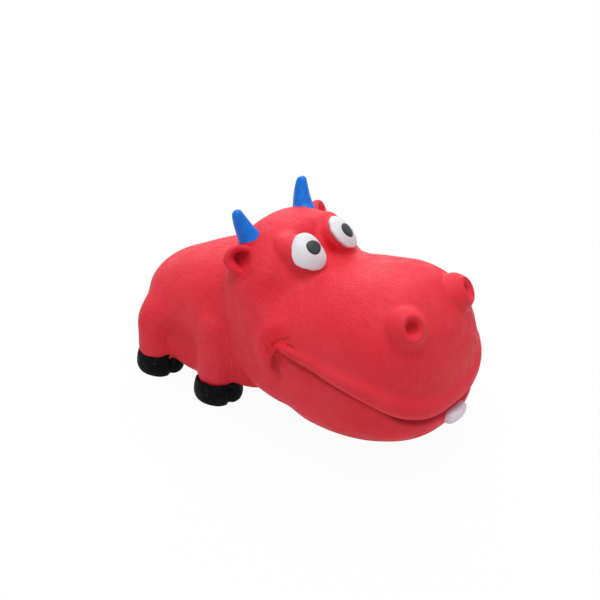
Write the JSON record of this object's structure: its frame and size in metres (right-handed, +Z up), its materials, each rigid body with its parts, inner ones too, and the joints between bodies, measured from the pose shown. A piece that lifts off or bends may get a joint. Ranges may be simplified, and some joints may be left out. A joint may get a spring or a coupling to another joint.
{
  "type": "squeaky dog toy",
  "caption": "Hollow latex squeaky dog toy: stout standing animal with a big smiling snout, horns, ears and painted hooves, squeezed to sound a belly squeaker.",
  "frame": {"origin": "on the surface the toy stands on, under the middle of its length and width", "axes": "+X towards the snout, +Y to the toy's left, +Z up"},
  "size_m": [0.168, 0.0866, 0.0963],
  "materials": {
    "latex_red": "matte moulded latex with fine hair lines",
    "horn_blue": "satin blue paint on latex",
    "eye_white": "satin white paint on latex",
    "hoof_black": "satin black paint on latex",
    "squeaker_plastic": "plain moulded polyethylene",
    "reed_brass": "bare strip"
  },
  "bodies": {
    "toy": {"trunk_shell": "latex_red", "head_shell": "latex_red", "lower_jaw": "latex_red", "front_right_leg": "latex_red", "front_right_hoof": "hoof_black", "rear_right_leg": "latex_red", "rear_right_hoof": "hoof_black", "front_left_leg": "latex_red", "front_left_hoof": "hoof_black", "rear_left_leg": "latex_red", "rear_left_hoof": "hoof_black", "right_eye": "eye_white", "right_pupil": "hoof_black", "right_nostril": "latex_red", "left_eye": "eye_white", "left_pupil": "hoof_black", "left_nostril": "latex_red", "tooth": "eye_white", "squeaker_case": "squeaker_plastic", "squeaker_lid": "squeaker_plastic", "reed_holder": "squeaker_plastic"},
    "back": {"back_panel": "latex_red"},
    "right_horn_body": {"right_horn": "horn_blue"},
    "left_horn_body": {"left_horn": "horn_blue"},
    "right_ear_body": {"right_ear": "latex_red"},
    "left_ear_body": {"left_ear": "latex_red"},
    "reed_body": {"reed": "reed_brass"}
  },
  "joints": [
    {"name": "back_squeeze", "type": "slide", "parent": "toy", "child": "back", "axis": [0, 0, -1], "range_m": [0, 0.012], "stiffness_N_per_m": 1000},
    {"name": "right_horn_bend", "type": "hinge", "parent": "toy", "child": "right_horn_body", "pos_m": [-0.01738, -0.01866, 0.0784], "axis": [0, 1, 0], "range_deg": [-20, 20], "stiffness_Nm_per_rad": 0.03},
    {"name": "right_ear_bend", "type": "hinge", "parent": "toy", "child": "right_ear_body", "pos_m": [-0.018, -0.02662, 0.07083], "axis": [0, 0.5119, 0.859], "range_deg": [-20, 20], "stiffness_Nm_per_rad": 0.02},
    {"name": "left_horn_bend", "type": "hinge", "parent": "toy", "child": "left_horn_body", "pos_m": [-0.01738, 0.01866, 0.0784], "axis": [0, 1, 0], "range_deg": [-20, 20], "stiffness_Nm_per_rad": 0.03},
    {"name": "left_ear_bend", "type": "hinge", "parent": "toy", "child": "left_ear_body", "pos_m": [-0.018, 0.02662, 0.07083], "axis": [0, -0.5119, 0.859], "range_deg": [-20, 20], "stiffness_Nm_per_rad": 0.02},
    {"name": "reed_flutter", "type": "hinge", "parent": "toy", "child": "reed_body", "pos_m": [-0.046, 0.0018, 0.02028], "axis": [1, 0, 0], "range_deg": [-3, 3], "stiffness_Nm_per_rad": 0.002}
  ]
}
